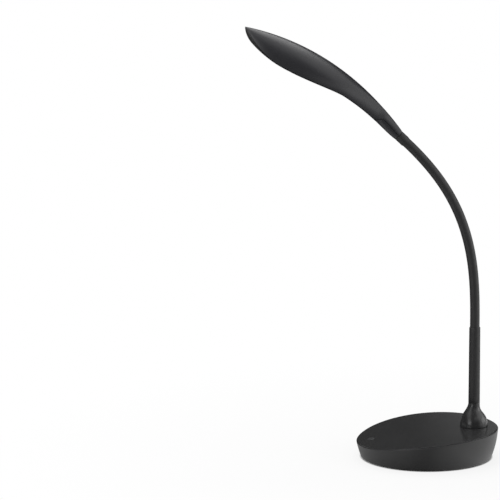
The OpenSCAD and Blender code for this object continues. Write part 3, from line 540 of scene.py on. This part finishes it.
def lean_at(k):
    """Lean of the neck from upright, in radians, at k links from the stem."""
    share = max(0, k / LINKS)
    late = share ** BIAS
    return LEAN * (EVEN * share + (1 - EVEN) * (3 * late ** 2 - 2 * late ** 3))


joint_places = [(NECK_Y, STEM_TOP + ROOT)]
for k in range(1, LINKS + 1):
    lean = LEAN if k == LINKS else lean_at(k - 0.5)
    y, z = joint_places[-1]
    joint_places.append((y - LINK * math.sin(lean), z + LINK * math.cos(lean)))


def centre_of_neck(s):
    """Centre of the neck s links from the first joint, as (y, z), and its heading from upright."""
    k = min(LINKS - 1, max(0, math.floor(s)))
    t = s - k
    (from_y, from_z), (to_y, to_z) = joint_places[k], joint_places[k + 1]
    lean, next_lean = lean_at(k), lean_at(k + 1)
    if t <= 0:
        return from_y - LINK * t * math.sin(lean), from_z + LINK * t * math.cos(lean), lean
    h = [2 * t ** 3 - 3 * t ** 2 + 1, t ** 3 - 2 * t ** 2 + t, 3 * t ** 2 - 2 * t ** 3, t ** 3 - t ** 2]
    d = [6 * t ** 2 - 6 * t, 3 * t ** 2 - 4 * t + 1, 6 * t - 6 * t ** 2, 3 * t ** 2 - 2 * t]
    knots = [(from_y, LINK * -math.sin(lean), to_y, LINK * -math.sin(next_lean)),
             (from_z, LINK * math.cos(lean), to_z, LINK * math.cos(next_lean))]
    y, z = [sum(a * b for a, b in zip(h, knot)) for knot in knots]
    dy, dz = [sum(a * b for a, b in zip(d, knot)) for knot in knots]
    return y, z, math.atan2(-dy, dz)


def neck_stretch(name, start, end):
    """A hollow stretch of the sleeve, from start to end in links."""
    stations = 28

    def skin(u, v):
        step = round(v * (2 * stations + 2))
        outside = step <= stations
        i = step if outside else 2 * stations + 1 - step
        if step > 2 * stations + 1:
            i, outside = 0, True
        y, z, lean = centre_of_neck(start + (end - start) * i / stations)
        radius = NECK_R if outside else SLEEVE_BORE
        across, out = radius * math.cos(2 * math.pi * u), radius * math.sin(2 * math.pi * u)
        return across, y + out * math.cos(lean), z + out * math.sin(lean)

    return grown(name, 64, 2 * stations + 2, skin, 60)


for k in range(1, LINKS + 1):
    start = -ROOT / LINK if k == 1 else k - 1.5
    end = k - 0.5
    skin = neck_stretch(f"neck_skin_{k:02d}", start, end)
    skin.data.materials.append(silicone)
    from_y, from_z, _ = centre_of_neck(start)
    to_y, to_z, _ = centre_of_neck(end)
    from_y * MM
    from_z * MM
    to_y * MM
    to_z * MM
    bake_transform(skin)
    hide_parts(f"sleeve_{k:02d}")
last_skin = neck_stretch("neck_skin_11", LINKS - 0.5, LINKS - (COLLAR_LEN - 0.5) / LINK)
fitted(last_skin, silicone, "head", "silicone_black")

# ---- Collar ----
# A thicker ring of the same silicone at the sleeve's end, pushed up against
# the tail of the head.

COLLAR_R, GROOVE_R = 5.45, 4.7
head_y, head_z = joint_places[LINKS]
neck_way = Vector((0, -math.sin(LEAN), math.cos(LEAN)))
collar_profile = [(SLEEVE_BORE, 0), (NECK_R, 0), (5.2, 0.05), (5.38, 0.2), (COLLAR_R, 0.45),
                  (COLLAR_R, COLLAR_LEN - 1.2), (5.38, COLLAR_LEN - 0.95), (5.15, COLLAR_LEN - 0.8),
                  (GROOVE_R, COLLAR_LEN - 0.7), (GROOVE_R, COLLAR_LEN - 0.05),
                  (SLEEVE_BORE, COLLAR_LEN - 0.05), (SLEEVE_BORE, 0)]
collar_foot = Vector((0, head_y, head_z)) - neck_way * COLLAR_LEN
collar = turned("collar", collar_profile, collar_foot, neck_way, 96, 50)
fitted(collar, silicone, "head", "silicone_black", "neck_collar")

# ---- Head shell ----
# The upper half of the leaf-shaped head: a thin satin black moulding, round
# across and drawn out to a point, that narrows at the rear into the tail.

HEAD_LEN, HALF_W, TAIL_R, HEAD_CROWN, WAIST, HEAD_DROP = 195.7, 28, 5.5, 20.3, 1.2, 12.3
DROOP = math.radians(7.8)
SHELL_T, EDGE, EDGE_NOSE, TAIL_COVER, HEAD_SEAM = 1.6, 0.6, 3.6, 32, 0.12
WAIST_A, WIDEST_A = 0.382 * HEAD_LEN, 0.587 * HEAD_LEN
TOP = ((0, TAIL_R), (WAIST_A, TAIL_R + 1.7 * (HEAD_CROWN - TAIL_R)),
       (0.724 * HEAD_LEN, TAIL_R + 1.21 * (HEAD_CROWN - TAIL_R)), (HEAD_LEN, 0))
LOW_REAR = ((0, -TAIL_R), (0.1 * HEAD_LEN, -0.85 * TAIL_R), (0.18 * HEAD_LEN, 1.5 * WAIST), (WAIST_A, WAIST))
LOW_FRONT = ((WAIST_A, WAIST), (0.528 * HEAD_LEN, WAIST - 0.166 * HEAD_DROP),
             (0.9 * HEAD_LEN, -2.18 * HEAD_DROP), (HEAD_LEN, 0))
PLAN_REAR = ((0, TAIL_R), (0.235 * HEAD_LEN, TAIL_R), (0.36 * HEAD_LEN, HALF_W), (WIDEST_A, HALF_W))
PLAN_FRONT = ((WIDEST_A, HALF_W), (0.79 * HEAD_LEN, HALF_W), (0.935 * HEAD_LEN, 0.54 * HALF_W), (HEAD_LEN, 0))


@functools.cache
def height_on(curve, a):
    """Height of a Bezier curve over distance a."""
    low, high = 0.0, 1.0
    for _ in range(30):
        t = (low + high) / 2
        way = [(1 - t) ** 3, 3 * (1 - t) ** 2 * t, 3 * (1 - t) * t * t, t ** 3]
        if sum(w * p[0] for w, p in zip(way, curve)) < a:
            low = t
        else:
            high = t
    return sum(w * p[1] for w, p in zip(way, curve))


def top_at(a):
    """Height of the head's back at distance a from the collar."""
    return height_on(TOP, a)


def low_at(a):
    """Height of its lower edge."""
    return height_on(LOW_REAR if a < WAIST_A else LOW_FRONT, a)


def half_w_at(a):
    """Half of its width."""
    return height_on(PLAN_REAR if a < WIDEST_A else PLAN_FRONT, a)


def eased(a, a0, a1):
    """Goes gently from 0 at a0 to 1 at a1."""
    t = min(1, max(0, (a - a0) / (a1 - a0)))
    return 3 * t * t - 2 * t ** 3


def split_at(a):
    """Height of the seam between the shell and what closes it below."""
    if a < TAIL_COVER:
        closed = eased(a, 22, TAIL_COVER)
        return (top_at(a) + low_at(a)) / 2 * (1 - closed) + (low_at(a) + EDGE) * closed
    edge = EDGE + (EDGE_NOSE - EDGE) * eased(a, 0.765 * HEAD_LEN, 0.96 * HEAD_LEN)
    return low_at(a) + min(edge, 0.4 * (top_at(a) - low_at(a)))


def in_head(a, x, z, shear=True):
    """A point of the head: a from the collar towards the tip, x across, z up out of its back."""
    if shear:
        a -= z * math.tan(DROOP) * max(0, 1 - a / TAIL_COVER)
    pitch = math.pi / 2 - LEAN - DROOP
    y = head_y - a * math.cos(pitch) + z * math.sin(pitch)
    return x, y, head_z + a * math.sin(pitch) + z * math.cos(pitch)


def shell_skin(u, v):
    """Along the head with v. u runs over the outside, round one lip, back inside and round the other lip."""
    a = HEAD_LEN * (1 - (1 - v) ** 1.5) if v > 0 else 0
    a = min(a, HEAD_LEN - 0.02)
    width, seam, top = half_w_at(a), split_at(a), top_at(a)
    wall = min(SHELL_T, 0.42 * width, 0.42 * (top - seam)) * (1 if v > 0 else 0.5)
    lip = min(0.22, 0.3 * wall)
    step = u * 120
    if step <= 80:
        turn, depth = math.pi * (0.012 + 0.976 * step / 80), 0
    elif step <= 82:
        turn, depth = math.pi, wall if step == 82 else lip
    elif step <= 118:
        turn, depth = math.pi * (1 - (step - 83) / 35), wall
    else:
        turn, depth = 0, 0.5 * wall if step < 120 else lip
    return in_head(a, (width - depth) * math.cos(turn), seam + (top - depth - seam) * math.sin(turn))


head_plastic, surface, place = new_finish("head_plastic")
feed(surface, Base_Color=place.patches(22).tint((0.019, 0.019, 0.0225), (0.0225, 0.0225, 0.026)),
     Roughness=place.patches(50, 0.32, 0.37, 5))
bumped(surface, place.noise(3200, 2), 0.00003, 0.3)

fitted(grown("head_top_shell", 120, 150, shell_skin), head_plastic, "head", "head_black", "head_shell")

# ---- Tail cover ----
# The lower half of the tail: a small moulding that closes the shell round the
# end of the neck, with a seam along each side.

TAIL_GAP = 0.15


def tail_skin(u, v):
    """Along the tail with v. u runs round the outside from seam to seam and back along the inside."""
    a = (TAIL_COVER - TAIL_GAP) * v
    width, seam, low = half_w_at(a), split_at(a) - HEAD_SEAM, low_at(a)
    wall = min(SHELL_T, 0.45 * (seam - low)) if a > 24 else min(SHELL_T, 0.8 * (seam - low))
    step = u * 80
    if step <= 50:
        turn, depth = -math.pi * step / 50, 0
    elif step <= 52:
        turn, depth = -math.pi, wall * (step - 50) / 2
    elif step <= 78:
        turn, depth = -math.pi * (1 - (step - 52) / 26), wall
    else:
        turn, depth = 0, wall * (80 - step) / 2
    return in_head(a, (width - depth) * math.cos(turn), seam + (seam - depth - low) * math.sin(turn))


fitted(grown("tail_lower_cover", 80, 48, tail_skin), head_plastic, "head", "head_black", "tail_cover")

# ---- Lower frame ----
# The frame that closes the head from below: a satin black moulding with a
# long window for the light, screwed up into the shell near the tail.

WINDOW_A, WINDOW_END, FRAME_W = 64, HEAD_LEN - 12, 5


def under_at(a, x):
    """Height of the frame's underside at distance a and x across."""
    seam, low = split_at(a) - HEAD_SEAM, low_at(a)
    reach = min(1, abs(x) / max(half_w_at(a), 0.01))
    return seam - (seam - low) * math.sqrt(1 - reach * reach)


def end_round(d, r):
    """How wide a window with an end round of radius r is at distance d from that end, as a share."""
    return 1 if d >= r else math.sqrt(max(0, 1 - (1 - d / r) ** 2))


def window_w(a):
    """Half width of the window at distance a."""
    return (half_w_at(a) - FRAME_W) * end_round(a - WINDOW_A, 14) * end_round(WINDOW_END - a, 16)


def round_outline(u):
    """A point of the head's outline: u runs from the tip along +X to the tail's seam, across it, and back."""
    rear = TAIL_COVER + TAIL_GAP
    corner = 0.46
    side = 1 if u < 0.5 else -1
    share = min(u, 1 - u)
    if share <= corner:
        a = rear + (HEAD_LEN - 0.05 - rear) * (1 + math.cos(math.pi * share / corner)) / 2
        return a, side * half_w_at(a)
    return rear, side * half_w_at(rear) * (0.5 - share) / (0.5 - corner)


def round_window(u):
    """A point of the window's outline, matched to round_outline."""
    side = 1 if u < 0.5 else -1
    share = 2 * min(u, 1 - u)
    mid, half = (WINDOW_A + WINDOW_END) / 2, (WINDOW_END - WINDOW_A) / 2
    a = mid + half * math.cos(math.pi * share)
    return a, side * window_w(min(WINDOW_END, max(WINDOW_A, a)))


def frame_skin(u, v):
    """Round the frame with u. v runs from its outer edge along its underside, up the window and back in."""
    u = 0 if u >= 1 else u
    out_a, out_x = round_outline(u)
    in_a, in_x = round_window(u)
    step = v * 32

    def inward(share):
        return out_a + (in_a - out_a) * share, out_x + (in_x - out_x) * share

    if step <= 22:
        a, x = inward((step / 22) ** 2 * 0.985)
        return in_head(a, x, under_at(a, x), False)
    if step <= 25:
        a, x = inward(0.985 + 0.015 * (step - 22) / 3)
        return in_head(a, x, under_at(a, x) + 0.1 * (step - 22), False)
    if step <= 27:
        z = under_at(in_a, in_x) + 0.3
        return in_head(in_a, in_x, z + (split_at(in_a) + 1.5 - z) * (step - 25) / 2, False)
    if step <= 30:
        share = 1 - 0.75 * (step - 27) / 3
        a, x = inward(share)
        return in_head(a, x * 0.97, max(split_at(a), under_at(a, x)) + 1.0 * share, False)
    a, x = inward(0.2 * (32 - step) / 2)
    return in_head(a, x, under_at(a, x) + (0.25 if step < 32 else 0.0), False)


frame_plastic, surface, place = new_finish("frame_plastic")
feed(surface, Base_Color=place.patches(25).tint((0.018, 0.018, 0.019), (0.023, 0.023, 0.024)),
     Roughness=place.patches(60, 0.38, 0.45, 4))
bumped(surface, place.noise(2800, 2), 0.00004, 0.35)

head_frame = grown("head_lower_frame", 240, 32, frame_skin)
fitted(head_frame, frame_plastic, "head", "frame_black", "head_frame")
dress(plated_steel, "head_screws", "led_screws")

# ---- Diffuser ----
# The long opal panel that spreads the light: frosted white plastic with a
# slightly crowned face, set a little back in the frame's window.

SET_BACK, PANEL_T = 0.45, 1.8


def diffuser_skin(u, v):
    """Round the panel with u. v runs from the middle of its face to its edge and up its side."""
    u = 0 if u >= 1 else u
    edge_a, edge_x = round_window(u)
    mid_a = min(WINDOW_END - 18, max(WINDOW_A + 16, edge_a))
    step = v * 24

    def outward(share):
        return mid_a + (edge_a - mid_a) * share, edge_x * share

    if step <= 18:
        a, x = outward(math.sin(math.pi / 2 * step / 18) * 0.985)
        return in_head(a, x, under_at(a, x) + SET_BACK, False)
    if step <= 20:
        a, x = outward(0.985 + 0.005 * (step - 18) / 2)
        return in_head(a, x, under_at(a, x) + SET_BACK + 0.15 * (step - 18), False)
    a, x = outward(0.99 if step <= 22 else 0.99 * (24 - step) / 2)
    return in_head(a, x, split_at(a) + PANEL_T, False)


opal_plastic, surface, place = new_finish("opal_plastic")
feed(surface, Base_Color=place.patches(40).tint((0.80, 0.80, 0.775), (0.84, 0.84, 0.815)),
     Roughness=place.patches(500, 0.42, 0.52))
bumped(surface, place.noise(2400, 2), 0.00004, 0.4)
fitted(grown("diffuser_panel", 192, 24, diffuser_skin), opal_plastic, "head", "opal_white", "diffuser")

# ---- Light board ----
# Inside the head: a slim circuit board with two rows of LEDs facing down,
# clamped under an aluminium plate that spreads their heat.

led_phosphor, surface, place = new_finish("led_phosphor")
feed(surface, Base_Color=place.patches(900).tint((0.80, 0.66, 0.20), (0.90, 0.78, 0.34)),
     Roughness=place.patches(900, 0.25, 0.40))
dress(led_phosphor, "leds")

rolled_alloy, surface, place = new_finish("rolled_alloy")
feed(surface, Base_Color=place.patches(150).tint((0.68, 0.68, 0.69), (0.78, 0.78, 0.79)),
     Metallic=1.0, Roughness=place.patches(800, 0.30, 0.45))
bumped(surface, place.noise(1200, 2), 0.00003, 0.4)
dress(rolled_alloy, "heat_spreader")

# ---- Studio ----
# A pale floor under a white background, a wide soft box overhead and one on
# each side. Dark flags and bright cards, which only reflections see, shape
# the sheen of the black parts.


def stage_sheet(name, profile, start=0.0, end=360.0, steps=96):
    """A sheet of the set: a profile of (radius, height) points in metres, swept round the lamp."""
    bm = bmesh.new()
    verts = [bm.verts.new((r, 0, h)) for r, h in profile]
    edges = [bm.edges.new(pair) for pair in zip(verts, verts[1:])]
    bmesh.ops.rotate(bm, cent=(0, 0, 0), matrix=Matrix.Rotation(math.radians(start), 3, "Z"), verts=bm.verts)
    bmesh.ops.spin(bm, geom=verts + edges, cent=(0, 0, 0), axis=(0, 0, 1), dvec=(0, 0, 0),
                   angle=math.radians(end - start), steps=steps, use_merge=end - start >= 360)
    bmesh.ops.remove_doubles(bm, verts=bm.verts, dist=1e-6)
    mesh = bpy.data.meshes.new(name)
    bm.to_mesh(mesh)
    bm.free()
    sheet = bpy.data.objects.new(name, mesh)
    bpy.context.scene.collection.objects.link(sheet)
    return sheet


def stage_tree(owner):
    """An empty node tree of a stage material or of the world, as a Field on the place that it shades."""
    owner.use_nodes = True
    owner.node_tree.nodes.clear()
    return Field(owner.node_tree, owner.node_tree.nodes.new("ShaderNodeTexCoord").outputs["Object"])


def white_rays(place):
    """1 for the rays that show the white background: the camera's, and those of gloss and glass."""
    kinds = ["Is Camera Ray", "Is Glossy Ray", "Is Transmission Ray"]
    camera_ray, glossy_ray, glass_ray = [place.out("ShaderNodeLightPath", None, None, kind) for kind in kinds]
    return (camera_ray + glossy_ray + glass_ray).between(0, 1)


floor = stage_sheet("floor", [(0, 0), (0.1, 0), (12, 0)])
pale_floor = bpy.data.materials.new("pale_floor")
place = stage_tree(pale_floor)
distance = place.out("ShaderNodeVectorMath", {"operation": "LENGTH"}, {0: place}, "Value")
# The floor is matte under the base, holds a soft shadow round it and is plain white further out.
open_floor = distance.between(0.0680, 0.0700, 0.0, 0.84) + distance.between(0.10, 0.45, 0.0, 0.16)
matte = place.out("ShaderNodeBsdfDiffuse", None, {"Color": (0.88, 0.88, 0.88, 1)})
plain = place.out("ShaderNodeEmission", None, {"Color": (1, 1, 1, 1), "Strength": 1.0})
shown = place.out("ShaderNodeMixShader", None, {0: white_rays(place) * open_floor, 1: matte, 2: plain})
place.node("ShaderNodeOutputMaterial", None, {"Surface": shown})
floor.data.materials.append(pale_floor)

world = bpy.data.worlds.new("studio")
bpy.context.scene.world = world
place = stage_tree(world)
strength = white_rays(place).between(0, 1, 0.50, 1.0)
sky = place.out("ShaderNodeBackground", None, {"Color": (1, 1, 1, 1), "Strength": strength})
place.node("ShaderNodeOutputWorld", None, {"Surface": sky})


def flag(name, profile, start, end, shade):
    """A sheet that only reflections see, from start to end in degrees. shade(x, y, z) is its brightness."""
    sheet = stage_sheet(name, profile, start, end, 24)
    cloth = bpy.data.materials.new(name)
    place = stage_tree(cloth)
    x, y, z = [place.out("ShaderNodeSeparateXYZ", None, {0: place}, axis) for axis in "XYZ"]
    glow = place.out("ShaderNodeEmission", None, {"Color": (1, 1, 1, 1), "Strength": shade(x, y, z)})
    place.node("ShaderNodeOutputMaterial", None, {"Surface": glow})
    sheet.data.materials.append(cloth)
    sheet.visible_camera = sheet.visible_diffuse = sheet.visible_shadow = sheet.visible_transmission = False


FLAG_R, FLAG_FOOT, CARD_R = 0.60, 0.004, 0.58
FLOOR_FLAG = [(0.060, 0.0006), (0.60, 0.0006)]
flag("flag_front", [(FLAG_R, FLAG_FOOT), (FLAG_R, 1.60)], -125, 125,
     lambda x, y, z: 0.03 + z.between(0.70, 1.30, 0.0, 0.30) + y.between(0.35, 0.50, 0.0, 0.8)
     + y.between(-0.58, -0.25, 1.0, 0.0) * z.between(0.35, 0.80, 0.0, 0.9)
     + y.between(0.0, 0.08, 0.06, 0.6) * z.between(0.22, 0.40, 0.0, 1.0) * z.between(0.55, 0.70, 1.0, 0.0))
flag("flag_behind", [(FLAG_R, FLAG_FOOT), (FLAG_R, 0.80)], 125, 235,
     lambda x, y, z: y.between(0.03, 0.13, 0.05, 0.22) * z.between(0.20, 0.26, 1.0, 0.0))
flag("flag_low_front", FLOOR_FLAG, -110, 80,
     lambda x, y, z: 0.03 + x.between(0.15, 0.35, 1.0, 0.1)
     * (y.between(-0.010, 0.055, 0.12, 1.0) + y.between(-0.085, -0.020, 0.5, 0.0)))
flag("flag_low_behind", FLOOR_FLAG, 145, 240, lambda x, y, z: 0.03)
flag("card_left", [(CARD_R, 0.06), (CARD_R, 0.26)], -56, -28, lambda x, y, z: 2.4)
flag("card_right", [(CARD_R, 0.06), (CARD_R, 0.30)], 72, 108, lambda x, y, z: 2.6)


def soft_box(name, place, aim, size, power):
    """A soft box at place, turned to aim. Its size is in metres and its power in watts."""
    light = bpy.data.lights.new(name, "AREA")
    light.shape = "RECTANGLE"
    light.size, light.size_y = size
    light.energy = power
    lamp = bpy.data.objects.new(name, light)
    lamp.location = place
    lamp.rotation_mode = "QUATERNION"
    lamp.rotation_quaternion = (Vector(aim) - Vector(place)).to_track_quat("-Z", "Y")
    bpy.context.scene.collection.objects.link(lamp)
    lamp.visible_camera = False


soft_box("box_above", (-0.95, -0.15, 1.9), (0, -0.05, 0.3), (2.2, 1.8), 19)
soft_box("box_right", (0.5, 1.6, 0.7), (0, 0.05, 0.2), (0.9, 1.1), 5)
soft_box("box_left", (0.9, -1.5, 1.2), (0, -0.05, 0.2), (0.8, 0.8), 10)

# ---- Camera ----
# Fitted to the outline of the base in the photograph: a long lens from the
# lamp's right side, a little above it.

FOCAL_PX, PICTURE_PX, SENSOR = 4843.8, 500, 36
camera_lens = bpy.data.cameras.new("camera")
camera_lens.sensor_width = SENSOR
camera_lens.lens = FOCAL_PX / PICTURE_PX * SENSOR
camera_lens.clip_start, camera_lens.clip_end = 0.1, 100
camera = bpy.data.objects.new("camera", camera_lens)
camera.location = (4.8782, -0.6097, 1.2343)
camera.rotation_mode = "QUATERNION"
camera.rotation_quaternion = Vector((-0.9756, 0.0850, -0.2023)).to_track_quat("-Z", "Y")
bpy.context.scene.collection.objects.link(camera)
bpy.context.scene.camera = camera
bpy.context.scene.view_settings.view_transform = "Standard"
